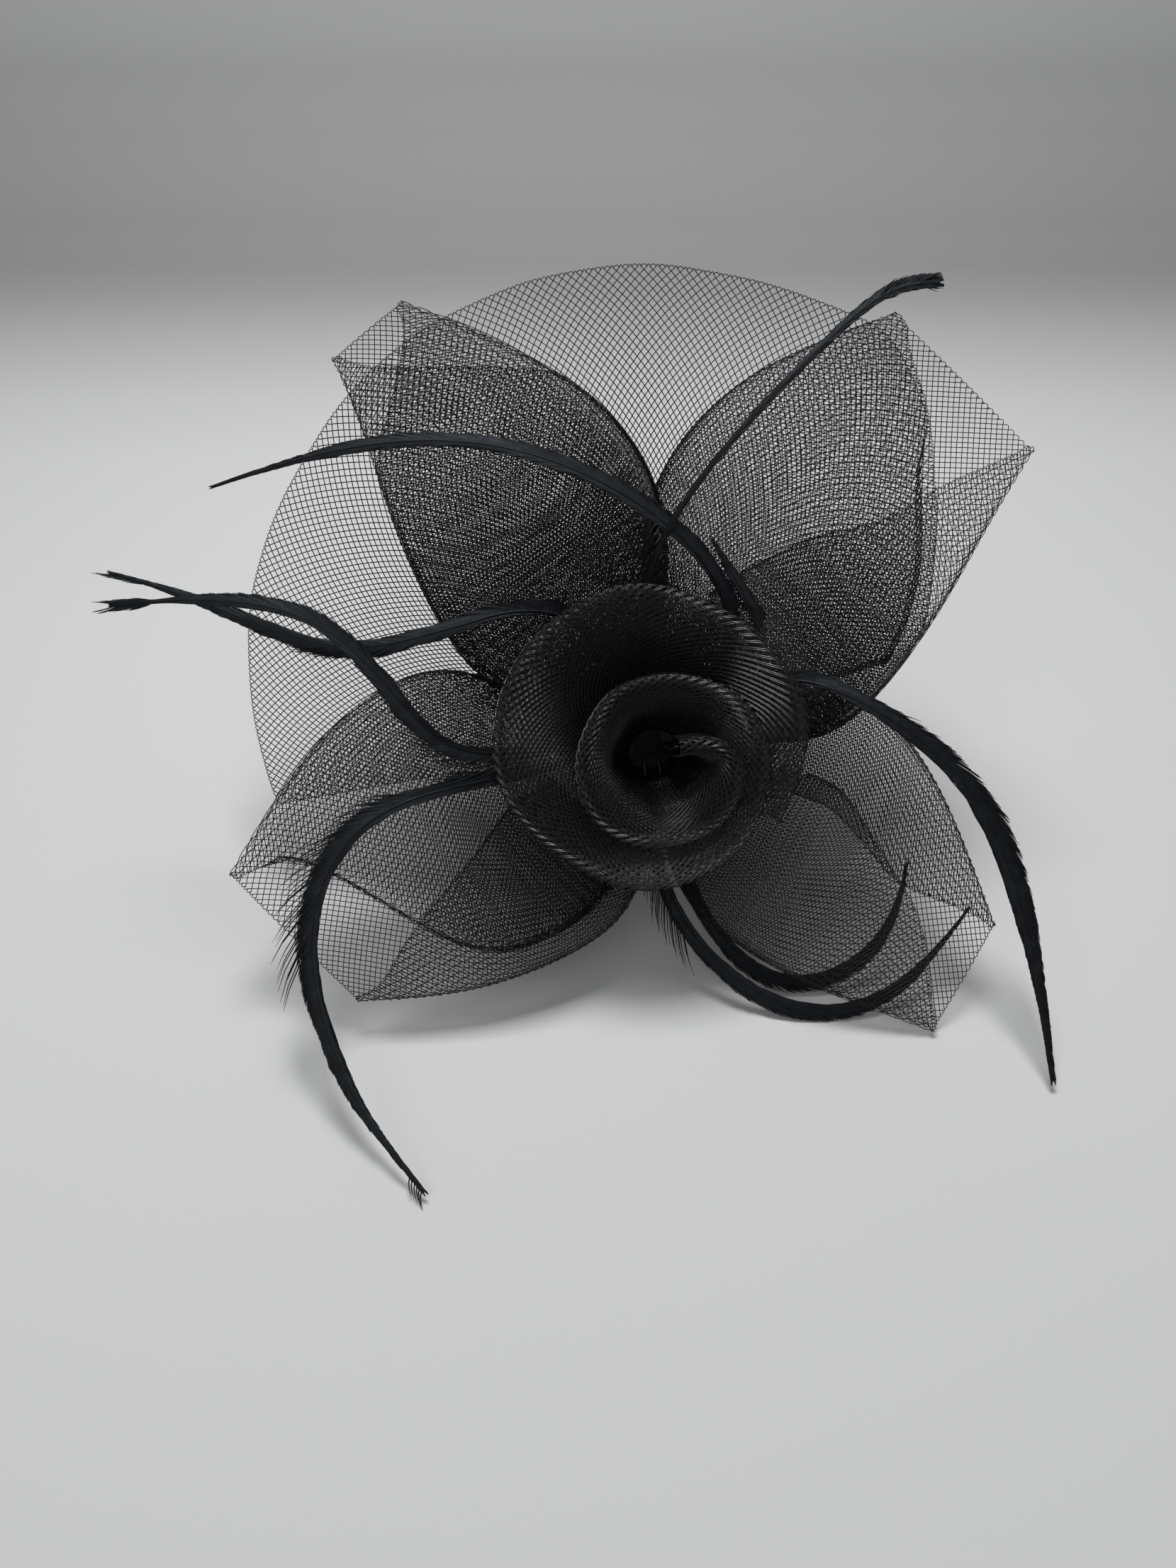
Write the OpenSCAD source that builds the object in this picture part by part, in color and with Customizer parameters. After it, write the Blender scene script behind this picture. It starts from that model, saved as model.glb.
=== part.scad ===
// Fascinator headpiece: a flower of open crinoline braid with feathers, on a felt base with a hair clip.
// The flower is drawn face up: X to the wearer's right as seen from the front, Y up along the
// flower's face, Z out of the face. It is then tilted about X to the angle at which it is worn.
// The origin is the middle of the base's back face.

/* [Pose] */
// Angle of the flower's axis above the horizontal
axis_rise = 40; // [20:1:70]

/* [Base and button] */
// Radius of the round felt base
base_r = 30; // [24:1:32]
// Thickness of the felt base
base_t = 3; // [2:0.5:3]
// Radius of the felt button under the rosette
button_r = 11; // [8:0.5:11]
// Height of the button's top above the back of the base
button_top = 15; // [12:0.5:15]
// Radius of the stem on the button that carries the rosette
stem_r = 5; // [3:0.5:5.5]

/* [Crinoline braid] */
// Thickness that stands for one layer of braid
braid_t = 0.9; // [0.6:0.1:1]
// Depth of a petal's pocket at its root
root_depth = 5; // [4:0.5:6]
// Extra depth of a petal's pocket halfway out
pocket_bulge = 13; // [6:1:13]
// Depth of the fold at a petal's corners
corner_depth = 2.6; // [2.4:0.1:4]
// Gap between the two front flaps of a petal
flap_gap = 2; // [1.5:0.5:6]
// Radius where the fan is gathered
fan_root_r = 13; // [12:0.5:16]
// Largest radius of the fan
fan_r = 182; // [150:1:190]
// How far the fan's rim falls behind the base
fan_fall = 16; // [8:1:20]

/* [Rosette] */
// Height of the rosette's lower end above the back of the base
rosette_low = 20; // [19:0.5:22]
// Height of the rosette's rim
rosette_rim = 47; // [40:1:50]
// Size of the lower end against the rim
rosette_taper = 0.42; // [0.4:0.02:0.6]
// Thickness of the doubled braid
rosette_t = 2.8; // [1.5:0.1:3]

/* [Feathers] */
// Thickness of a feather's vane at its middle
vane_t = 1; // [0.6:0.1:1.2]
// Half width of a bare quill
quill_r = 0.8; // [0.6:0.1:0.9]

/* [Hair clip] */
// Width of the clip's fixed plate
clip_w = 9; // [8:0.5:12]
// Length of the fixed plate
clip_len = 46; // [40:1:50]
// Thickness of the clip's steel strip
strip_t = 0.8; // [0.6:0.1:1]
// Distance of the hinge pin from the middle of the base
pin_y = -16; // [-18:1:-14]
// Depth of the hinge pin's centre below the base
pin_drop = 3.6; // [3.4:0.1:4.5]
// Radius of the hinge pin
pin_r = 0.8; // [0.6:0.05:0.9]
// Running clearance between the pin and the lever
pin_clear = 0.05; // [0.02:0.01:0.1]
// Number of teeth across the jaw's tip
teeth = 4; // [3:1:6]

/* [Hidden] */

// Each petal is a folded strip. It is given by its two side curves, as four control points each from
// the root out to the corner, left side first as seen from the front with the tip up, and by where
// along it, from root 0 to mouth 1, its two front flaps part.
petal_ul = [
    [[-20, 9, 10], [-84, 22, 12], [-86, 84, 18], [-114, 136, 20]],
    [[-4, 22, 10], [11, 95, 13], [-10, 126, 18], [-88, 157, 20]],
    0.84];
petal_ur = [
    [[4, 22, 10], [-1, 92, 13], [8, 122, 18], [88, 153, 20]],
    [[22, 6, 12], [78, -8, 34], [88, 34, 36], [139, 103, 21]],
    0.72];
petal_lr = [
    [[21, -5, 8], [82, 42, 5], [101, -5, 20], [124, -66, 30]],
    [[8, -20, 10], [8, -72, 18], [52, -84, 32], [101, -105, 32]],
    0.7];
petal_ll = [
    [[-8, -20, 10], [8, -66, 22], [-45, -90, 34], [-102, -93, 38]],
    [[-21, -4, 10], [-78, 44, 20], [-108, 18, 32], [-147, -47, 39]],
    0.72];

// Rim of the rosette's spiral, from its inner end round to its outer end.
rosette_path = [
    [10, -3], [21, -2], [29, -8], [29, -20], [19, -33], [0, -38], [-18, -28], [-24, -7],
    [-14, 14], [6, 21], [26, 15], [38, 0], [40, -18], [30, -38], [8, -50], [-16, -49],
    [-38, -36], [-51, -14], [-52, 12], [-40, 35], [-18, 48], [8, 50], [32, 40], [48, 20],
    [52, 5], [50, -13], [45, -30]];
rosette_middle = [0, -4];

// Feathers: points along each quill from root to tip.
arc_left_path = [
    [4, 8, 15.8], [17, 19, 20.5], [31, 28, 30], [33, 42, 36], [22, 60, 40], [11, 72, 41],
    [-8, 85, 42], [-30, 96, 42], [-51, 102, 42], [-73, 104, 42], [-95, 103, 41], [-117, 98, 40],
    [-136, 93, 39], [-153, 87, 38]];
arc_short_path = [
    [7, 5, 15.8], [18, 12, 17.6], [41, 28, 31], [41, 36, 32], [36, 46, 32], [29, 59, 32], [22, 70, 33]];
upper_right_path = [
    [0, 9, 15.8], [-3, 30, 20], [-4, 54, 38], [5, 67, 46], [18, 88, 47], [34, 105, 47],
    [50, 124, 46], [61, 136, 45], [72, 147, 44], [80, 154, 43], [90, 156, 43], [99, 156, 42]];
left_high_path = [
    [-5, 8, 15.8], [-14, 30, 20], [-25, 52, 37], [-45, 48, 42], [-68, 37, 44], [-94, 28, 45],
    [-108, 30, 45], [-124, 34, 45], [-137, 40, 45], [-153, 46, 44], [-169, 53, 44], [-187, 57, 43]];
left_low_path = [
    [-9, 3, 15.8], [-30, -2, 20], [-54, -8, 39], [-66, -8, 43], [-77, 1, 47], [-86, 12, 50],
    [-98, 28, 51], [-110, 40, 51], [-122, 43, 51], [-136, 46, 50], [-158, 50, 50], [-185, 45, 48]];
sweep_path = [
    [-8, -5, 15.8], [-19, -8, 17.3], [-54, -14, 37], [-71, -17, 46], [-85, -21, 52], [-97, -26, 55],
    [-110, -39, 57], [-117, -60, 59], [-116, -76, 60], [-111, -93, 63], [-105, -108, 66],
    [-98, -121, 71], [-89, -130, 75], [-74, -145, 82]];
right_path = [
    [9, 2, 15.8], [17, 8, 17.3], [43, 26, 35], [53, 22, 40], [67, 16, 43], [81, 8, 45],
    [94, 0, 46], [106, -12, 46], [115, -24, 46], [122, -38, 46], [130, -64, 48], [135, -84, 49],
    [138, -118, 51]];
under_outer_path = [
    [-1, -9, 15.8], [0, -34, 19], [4, -57, 22], [14, -70, 24], [25, -83, 25], [35, -91, 26],
    [47, -97, 27], [62, -100, 27], [74, -99, 27], [87, -94, 26], [98, -86, 24], [108, -76, 22],
    [118, -62, 21]];
under_inner_path = [
    [4, -8, 15.8], [8, -34, 17], [14, -57, 19], [24, -69, 19], [32, -81, 19], [43, -89, 19],
    [57, -91, 19], [70, -88, 19], [81, -81, 19], [90, -70, 18], [95, -58, 17], [96, -46, 17]];

// Half widths of the vanes at the root, a third, two thirds and the tip.
slim_vane = [quill_r, 3.6, 3, 0.5];
short_vane = [quill_r, 2.4, 2.4, 0.5];
paddle_vane = [quill_r, 1.2, 2, 3.2];
wide_vane = [quill_r, 3.4, 5.2, 1];
sweep_vane = [quill_r, 4, 3.6, 0.8];
feather_steps = 26;

petal_steps = 10;

// First and last points, along a petal's 17-point section, of its front flaps, sides and back.
flap_spans = [[0, 3], [13, 16]];
side_spans = [[3, 5], [11, 13]];
back_spans = [[5, 11]];

fan_steps = [26, 5];
fan_turn = [17, 190];
fan_full = [61, 105];
fan_right_cut = 2.05;
fan_right_slope = 68;
fan_left_cut = 0.073;
fan_left_power = 1.4;
rosette_steps = 66;
lever_w = clip_w - 2.4;
ear_t = 0.6;
smooth = 48;

function mix(a, b, k) = a + (b - a) * k;
function unit(v) = v / norm(v);

// Point on a cubic curve with the four control points c.
function cubic(c, t) =
    let (s = 1 - t)
    c[0] * s * s * s + c[1] * 3 * s * s * t + c[2] * 3 * s * t * t + c[3] * t * t * t;

// Point at t, from 0 to 1, on a smooth curve through all the points p.
function through(p, t) =
    let (
        last = len(p) - 1,
        s = min(t * last, last - 0.0001),
        i = floor(s),
        k = s - i,
        a = p[max(i - 1, 0)],
        b = p[i],
        c = p[i + 1],
        d = p[min(i + 2, last)]
    )
    b + 0.5 * k * (c - a + k * (2 * a - 5 * b + 4 * c - d + k * (3 * b - a - 3 * c + d)));

// Closed solid through a list of rings with the same even number of points.
// Point i of a ring lies opposite point n - 1 - i, and the two ends are closed between such pairs.
// The last side is cut along its other diagonals, so that two skins with a common wall meet exactly.
module skin(rings) {
    n = len(rings[0]);
    last = len(rings) - 1;
    at = last * n;
    sides = [
        for (j = [0 : last - 1], i = [0 : n - 2])
            let (a = j * n + i)
            each [[a, a + 1, a + n], [a + 1, a + 1 + n, a + n]]];
    last_side = [
        for (j = [0 : last - 1])
            let (a = j * n + n - 1, b = j * n)
            each [[a, b, b + n], [a, b + n, a + n]]];
    ends = [
        for (i = [0 : n / 2 - 2])
            each [
                [i, n - 1 - i, i + 1],
                [i + 1, n - 1 - i, n - 2 - i],
                [at + i, at + i + 1, at + n - 1 - i],
                [at + i + 1, at + n - 2 - i, at + n - 1 - i]]];
    polyhedron(points = [for (r = rings) each r], faces = concat(sides, last_side, ends));
}

// Half of a petal's cross-section from the middle of its back to the free edge of its flap:
// each entry is [x, z, outward x, outward z]. h is the half width, r half the pocket's depth.
function half_section(h, r, free) =
    let (flat = h - r)
    [
        [0, 0, 0, -1],
        [flat / 2, 0, 0, -1],
        for (a = [-90 : 45 : 90]) [flat + r * cos(a), r + r * sin(a), cos(a), sin(a)],
        [mix(flat, free, 0.5), 2 * r, 0, 1],
        [free, 2 * r, 0, 1]];

function mirrored(s) = [for (p = s) [-p[0], p[1], -p[2], p[3]]];
function backwards(s) = [for (i = [len(s) - 1 : -1 : 0]) s[i]];

// One ring of a petal at t, over the points span of its section.
function petal_ring(shape, t, span) =
    let (
        left = cubic(shape[0], t),
        right = cubic(shape[1], t),
        near = (cubic(shape[0], max(t - 0.02, 0)) + cubic(shape[1], max(t - 0.02, 0))) / 2,
        far = (cubic(shape[0], min(t + 0.02, 1)) + cubic(shape[1], min(t + 0.02, 1))) / 2,
        ex = unit(right - left),
        ez = unit(cross(ex, far - near)),
        h = norm(right - left) / 2,
        r = (mix(root_depth, corner_depth, t) + pocket_bulge * sin(180 * t)) / 2,
        open = max(0, (t - shape[2]) / (1 - shape[2])),
        free = mix(flap_gap / 2, h - r - 1, open),
        half = half_section(h, r, free),
        whole = concat(backwards(mirrored(half)), [for (i = [1 : len(half) - 1]) half[i]]),
        part = [for (i = [span[0] : span[1]]) whole[i]],
        middle = (left + right) / 2 - ez * r
    )
    concat(
        [for (p = part) middle + ex * p[0] + ez * p[1]],
        [for (p = backwards(part)) middle + ex * (p[0] - p[2] * braid_t) + ez * (p[1] - p[3] * braid_t)]);

// The layers of a petal over the given spans of its section.
module petal_layer(shape, spans) {
    color([0.06, 0.06, 0.06])
        for (span = spans)
            skin([for (i = [0 : petal_steps]) petal_ring(shape, i / petal_steps, span)]);
}

module petal_back(shape) {
    petal_layer(shape, back_spans);
}

module petal_sides(shape) {
    petal_layer(shape, side_spans);
}

module petal_flaps(shape) {
    petal_layer(shape, flap_spans);
}

// Outer radius of the fan at angle a. It shortens towards both ends.
function fan_edge(a) =
    a < fan_full[0] ? fan_r - fan_right_cut * pow(fan_full[0] - a, 2) / (fan_right_slope - a)
    : a > fan_full[1] ? fan_r - fan_left_cut * pow(a - fan_full[1], fan_left_power)
    : fan_r;

module fan() {
    color([0.05, 0.05, 0.06])
        skin([
            for (i = [0 : fan_steps[0]])
                let (
                    a = mix(fan_turn[0], fan_turn[1], i / fan_steps[0]),
                    front = [
                        for (j = [0 : fan_steps[1]])
                            let (k = j / fan_steps[1], r = mix(fan_root_r, fan_edge(a), k))
                            [r * cos(a), r * sin(a), base_t + braid_t + 0.6 - fan_fall * k * k]]
                )
                concat([for (p = front) p - [0, 0, braid_t]], backwards(front))]);
}

// Doubled braid rolled into a spiral bowl with a rounded rim.
function rosette_ring(t) =
    let (
        here = through(rosette_path, t),
        ahead = through(rosette_path, min(t + 0.004, 1)),
        along = unit(ahead - through(rosette_path, max(t - 0.004, 0))),
        side = [-along[1], along[0]],
        half = rosette_t / 2,
        section = [
            [-half, 0], [-half, 0.5], [-half, 0.94], [-half / 2, 1],
            [half / 2, 1], [half, 0.94], [half, 0.5], [half, 0]]
    )
    [
        for (p = section)
            let (
                size = mix(rosette_taper, 1, p[1]),
                at = rosette_middle + (here - rosette_middle) * size + side * p[0]
            )
            [at[0], at[1], mix(rosette_low, rosette_rim, p[1])]];

module rosette() {
    color([0.07, 0.06, 0.06])
        skin([for (i = [0 : rosette_steps]) rosette_ring(i / rosette_steps)]);
}

// Feather along path, with half widths in vane, as a thin blade that faces up.
module feather(path, vane) {
    color([0.09, 0.1, 0.11])
        skin([
            for (i = [0 : feather_steps])
                let (
                    t = i / feather_steps,
                    here = through(path, t),
                    ahead = through(path, min(t + 0.01, 1)),
                    along = unit(ahead - through(path, max(t - 0.01, 0))),
                    side = unit(cross(along, [0, 0, 1])),
                    up = cross(side, along),
                    half = through(vane, t),
                    thick = min(vane_t / 2, half)
                )
                [here - side * half, here - up * thick, here + side * half, here + up * thick]]);
}

// Round felt base that everything is sewn to.
module base_pad() {
    color([0.05, 0.05, 0.05])
        cylinder(r = base_r, h = base_t, $fn = smooth);
}

// Felt button on the base, with the feathers' roots round its stem and the rosette on top of it.
module core_button() {
    color([0.06, 0.06, 0.06]) {
        translate([0, 0, base_t])
            cylinder(r = button_r, h = button_top - base_t, $fn = smooth);
        translate([0, 0, base_t])
            cylinder(r = stem_r, h = rosette_low - base_t, $fn = smooth);
    }
}

// Drawn in the plane across the hinge: pairs are [along the clip, height].
module across(points, width) {
    rotate([90, 0, 90])
        translate([0, 0, -width / 2])
            linear_extrude(width) polygon(points);
}

// Two ears that carry the pin, with a hole of radius hole.
module ears(span, hole, top) {
    for (s = [-1, 1])
        translate([s * (span - ear_t) / 2, 0, 0])
            difference() {
                union() {
                    translate([0, pin_y, -pin_drop])
                        rotate([0, 90, 0])
                            cylinder(r = 2, h = ear_t, center = true, $fn = smooth);
                    translate([-ear_t / 2, pin_y - 2, top[0]])
                        cube([ear_t, 4, top[1] - top[0]]);
                }
                translate([0, pin_y, -pin_drop])
                    rotate([0, 90, 0])
                        cylinder(r = hole, h = ear_t + 1, center = true, $fn = smooth);
            }
}

module clip_plate() {
    color([0.75, 0.75, 0.77]) {
        difference() {
            translate([-clip_w / 2, -clip_len / 2 + 1, -strip_t])
                cube([clip_w, clip_len, strip_t]);
            for (s = [-1, 1])
                translate([s * clip_w / 2, clip_len / 2 + 1, -strip_t - 0.5])
                    rotate([0, 0, 45])
                        cube([3, 3, 2 * strip_t + 1], center = true);
        }
        ears(clip_w, pin_r, [-pin_drop, -strip_t]);
    }
}

// Lower jaw: a flat strip from the toothed tip to the hinge, then a thumb tab that flares away.
module clip_lever() {
    tip_y = clip_len / 2 - 1;
    knee = -pin_drop - 2;
    color([0.72, 0.72, 0.74]) {
        across(
            [
                [tip_y, -strip_t - 1], [tip_y, -2 * strip_t - 1], [pin_y, knee - strip_t],
                [pin_y - 14, knee - 9], [pin_y - 15, knee - 8.4], [pin_y, knee]],
            lever_w);
        ears(lever_w, pin_r + pin_clear, [-pin_drop - 2.4, -pin_drop]);
        for (i = [0 : teeth - 1])
            translate([(lever_w / 2 - 0.6) * (2 * i / (teeth - 1) - 1), tip_y - 1.2, -strip_t - 1.3])
                cylinder(r = 0.5, h = 0.9, $fn = 24);
    }
}

module clip_pin() {
    color([0.6, 0.6, 0.62])
        translate([0, pin_y, -pin_drop])
            rotate([0, 90, 0])
                cylinder(r = pin_r, h = clip_w + 0.6, center = true, $fn = smooth);
}

// Coil spring round the pin, as close rings with one leg that bears on the plate.
module clip_spring() {
    wire = 0.35;
    coils = 5;
    coil_r = pin_r + wire + 0.05;
    color([0.55, 0.55, 0.58])
        translate([0, pin_y, -pin_drop])
            rotate([0, 90, 0])
                for (i = [0 : coils - 1])
                    translate([0, 0, (i - (coils - 1) / 2) * 2 * wire * 0.98])
                        rotate_extrude($fn = smooth)
                            translate([coil_r, 0])
                                circle(r = wire, $fn = 24);
}

// Thread bar across the plate at y, sewn into the felt on both sides.
module stitch(y) {
    thread = 0.5;
    reach = clip_w / 2 + 1;
    color([0.04, 0.04, 0.04])
        translate([0, y, 0]) {
            translate([-reach, -thread, -strip_t - 2 * thread])
                cube([2 * reach, 2 * thread, 2 * thread]);
            for (s = [-1, 1])
                translate([s * (reach - thread) - thread, -thread, -strip_t - 2 * thread])
                    cube([2 * thread, 2 * thread, strip_t + 2 * thread]);
        }
}

module worn() {
    rotate([90 - axis_rise, 0, 0]) children();
}

worn() base_pad();
worn() core_button();
worn() clip_plate();
worn() clip_lever();
worn() clip_pin();
worn() clip_spring();
worn() stitch(10);  // stitch_front
worn() stitch(-8);  // stitch_back
worn() fan();
worn() petal_back(petal_ul);  // petal_upper_left_back
worn() petal_sides(petal_ul);  // petal_upper_left_sides
worn() petal_flaps(petal_ul);  // petal_upper_left_flaps
worn() petal_back(petal_ur);  // petal_upper_right_back
worn() petal_sides(petal_ur);  // petal_upper_right_sides
worn() petal_flaps(petal_ur);  // petal_upper_right_flaps
worn() petal_back(petal_lr);  // petal_lower_right_back
worn() petal_sides(petal_lr);  // petal_lower_right_sides
worn() petal_flaps(petal_lr);  // petal_lower_right_flaps
worn() petal_back(petal_ll);  // petal_lower_left_back
worn() petal_sides(petal_ll);  // petal_lower_left_sides
worn() petal_flaps(petal_ll);  // petal_lower_left_flaps
worn() rosette();
worn() feather(arc_left_path, slim_vane);  // feather_arc_left
worn() feather(arc_short_path, short_vane);  // feather_arc_short
worn() feather(upper_right_path, paddle_vane);  // feather_upper_right
worn() feather(left_high_path, slim_vane);  // feather_left_high
worn() feather(left_low_path, slim_vane);  // feather_left_low
worn() feather(sweep_path, sweep_vane);  // feather_sweep
worn() feather(right_path, wide_vane);  // feather_right
worn() feather(under_outer_path, slim_vane);  // feather_under_outer
worn() feather(under_inner_path, slim_vane);  // feather_under_inner
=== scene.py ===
import math

import bpy
import numpy as np
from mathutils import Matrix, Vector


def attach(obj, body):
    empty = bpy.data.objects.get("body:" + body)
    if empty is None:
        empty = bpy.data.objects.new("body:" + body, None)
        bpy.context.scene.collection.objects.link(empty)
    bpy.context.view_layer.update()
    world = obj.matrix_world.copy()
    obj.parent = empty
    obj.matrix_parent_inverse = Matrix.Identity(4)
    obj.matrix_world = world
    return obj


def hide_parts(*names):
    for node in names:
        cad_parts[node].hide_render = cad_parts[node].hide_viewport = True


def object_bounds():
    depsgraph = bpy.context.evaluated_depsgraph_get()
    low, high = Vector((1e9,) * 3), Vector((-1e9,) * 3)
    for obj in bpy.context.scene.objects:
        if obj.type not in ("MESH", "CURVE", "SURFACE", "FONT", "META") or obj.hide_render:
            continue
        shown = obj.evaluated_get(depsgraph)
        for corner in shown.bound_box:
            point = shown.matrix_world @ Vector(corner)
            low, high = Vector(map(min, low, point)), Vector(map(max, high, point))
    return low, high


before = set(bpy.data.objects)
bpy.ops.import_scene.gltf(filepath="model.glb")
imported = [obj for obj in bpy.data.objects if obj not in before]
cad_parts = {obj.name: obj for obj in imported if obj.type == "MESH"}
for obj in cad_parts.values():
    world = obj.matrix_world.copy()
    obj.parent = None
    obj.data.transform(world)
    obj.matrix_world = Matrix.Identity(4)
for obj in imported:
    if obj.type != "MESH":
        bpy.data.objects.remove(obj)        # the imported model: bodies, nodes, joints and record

cad_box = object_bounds()

# Lengths are in millimetres and the flower lies face up, as in the CAD source. worn() puts points
# into the frame: it tilts them and turns millimetres into metres.
MM = 0.001
AXIS_RISE = math.radians(40)

# Open braid: two families of filaments that cross at right angles.
FAN_PITCH = 2.5        # between neighbouring filaments of a family
FAN_FILAMENT_R = 0.22
PETAL_PITCH = 1.9
PETAL_FILAMENT_R = 0.175
ROSETTE_PITCH = 2.1
ROSETTE_FILAMENT_R = 0.16
BRAID_WIDTH = 155.0
STEP = 4.0             # between the points along a filament
SELVEDGE_LOOP = 0.9    # how far the loops stand out at an edge
ROOT2 = math.sqrt(2)

# Sizes that the CAD source holds too.
BASE_R = 30.0
BASE_T = 3.0
BUTTON_R = 11.0
BUTTON_TOP = 15.0
STEM_R = 5.0
ROSETTE_LOW = 20.0
ROSETTE_RIM = 47.0
CLIP_W = 9.0
STRIP_T = 0.8

# Each petal: its two side curves, left first, as four control points from the root to the corner.
# reach gives, for each flap, where its free edge lies at points along the petal: (place from root 0
# to mouth 1, share of the half width from the middle line towards the flap's own side). billow is
# how far the left and the right side puff out past their curves near the root. over names
# the flap that lies on top, and roll is how far that flap's free edge rolls up on itself.
PETALS = {
    "petal_upper_left": {
        "left": [(-20, 9, 10), (-84, 22, 12), (-86, 84, 18), (-114, 136, 20)],
        "right": [(-4, 22, 10), (11, 95, 13), (-10, 126, 18), (-88, 157, 20)],
        "reach_left": [
            (0, -1), (0.7, -1), (0.8, -0.6), (0.88, -0.02), (0.92, 0.36), (0.96, 0.68), (1, 0.96)],
        "reach_right": [
            (0, -1), (0.76, -1), (0.83, -0.65), (0.89, -0.25), (0.93, 0.12), (0.96, 0.5), (1, 0.93)],
        "over": "left",
        "roll": 1,
        "billow": (5, 8),
    },
    "petal_upper_right": {
        "left": [(4, 22, 10), (-1, 92, 13), (8, 122, 18), (88, 153, 20)],
        "right": [(22, 6, 12), (78, -8, 34), (88, 34, 36), (139, 103, 21)],
        "reach_left": [
            (0, -1), (0.6, -1), (0.68, -0.88), (0.8, -0.62), (0.9, -0.16), (0.955, 0.32), (1, 0.97)],
        "reach_right": [
            (0, -0.6), (0.43, -0.1), (0.6, 0.1), (0.72, 0.37), (0.84, 0.52), (0.89, 0.63),
            (0.96, 0.82), (1, 0.97)],
        "over": "left",
        "roll": 1,
        "billow": (7, 6),
    },
    "petal_lower_right": {
        "left": [(21, -5, 8), (82, 42, 5), (101, -5, 20), (124, -66, 30)],
        "right": [(8, -20, 10), (8, -72, 18), (52, -84, 32), (101, -105, 32)],
        "reach_left": [
            (0, -0.1), (0.5, 0.2), (0.74, 0.14), (0.82, 0.27), (0.9, 0.52), (0.96, 0.78), (1, 0.96)],
        "reach_right": [
            (0, -0.1), (0.5, -0.3), (0.74, -0.13), (0.81, -0.08), (0.88, 0.1), (0.92, 0.32),
            (0.96, 0.6), (1, 0.96)],
        "over": "right",
        "roll": 1,
        "billow": (5, 4),
    },
    "petal_lower_left": {
        "left": [(-8, -20, 10), (8, -66, 22), (-45, -90, 34), (-102, -93, 38)],
        "right": [(-21, -4, 10), (-78, 44, 20), (-108, 18, 32), (-147, -47, 39)],
        "reach_left": [
            (0, -0.1), (0.4, 0), (0.6, 0.21), (0.74, 0.36), (0.84, 0.54), (0.94, 0.86), (1, 0.96)],
        "reach_right": [
            (0, -1), (0.4, -1), (0.56, -0.98), (0.68, -0.94), (0.76, -0.72), (0.82, -0.3),
            (0.86, 0.05), (0.89, 0.36), (0.93, 0.62), (1, 0.96)],
        "over": "right",
        "roll": 9,
        "billow": (6, 4),
    },
}
ROOT_DEPTH = 5.0
POCKET_BULGE = 13.0
CORNER_DEPTH = 2.6
ROOT_GATHER = 0.22     # a petal's strip is drawn in to this share of its width at the root
MOUTH_BULGE = 0.4      # how far the middle of a petal's end edge stands out
PAST_MOUTH = 1.4       # length of the strip for each step past a petal's mouth
TUCK = 0.75            # how far round the far side's roll a flap may tuck, as a share of its radius
FLAP_RISE = 1.5        # how far the top flap stands off the lower one, each way from the middle
FLAP_MEET = 16.0       # within this of the middle line the flaps part
ROLLED = 8.0           # a flap that rolls further than this is rolled tight
TIGHT_CURL = 1.5       # radii of the curl at a flap's free edge
LOOSE_CURL = 4.0
PETAL_PLEAT = 1.1      # depths of a petal's gathers and of its cloth's slack
PETAL_SLACK = 0.7

FAN_TURN = (17.0, 190.0)
FAN_ROOT_R = 13.0
FAN_R = 181.0
FAN_RISE = 4.5
FAN_FALL = 16.0
FAN_FULL = (61.0, 105.0)   # the fan's edge draws in outside these angles, in degrees
FAN_RIGHT_CUT = 2.05       # how much it draws in at the right, and the angle that this eases towards
FAN_RIGHT_SLOPE = 68.0
FAN_LEFT_CUT = 0.073
FAN_LEFT_POWER = 1.4
FAN_RIM_R = 1.7            # of the rim's roll near its right end

ROSETTE_DRAWN = 0.3    # the rosette is drawn in to this share of its rim at its foot
ROSETTE_WALL_R = 2.6   # half the thickness of the rosette's wall
ROSETTE_LONG = 1.3     # how the pull changes the length and the width of the rosette's strip
ROSETTE_NARROW = 0.68
ROSETTE_MIDDLE = np.array([0.0, -4.0])
ROSETTE_PATH = [
    (10, -3), (21, -2), (29, -8), (29, -20), (19, -33), (0, -38), (-18, -28), (-24, -7),
    (-14, 14), (6, 21), (26, 15), (38, 0), (40, -18), (30, -38), (8, -50), (-16, -49),
    (-38, -36), (-51, -14), (-52, 12), (-40, 35), (-18, 48), (8, 50), (32, 40), (48, 20),
    (52, 5), (50, -13), (45, -30)]

# Half widths of the vanes at the root, a third, two thirds and the tip.
SLIM_VANE = (0.8, 3.6, 3, 0.5)
SHORT_VANE = (0.8, 2.4, 2.4, 0.5)
PADDLE_VANE = (0.8, 1.2, 2, 3.2)
WIDE_VANE = (0.8, 3.4, 5.2, 1)
SWEEP_VANE = (0.8, 4, 3.6, 0.8)

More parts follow.
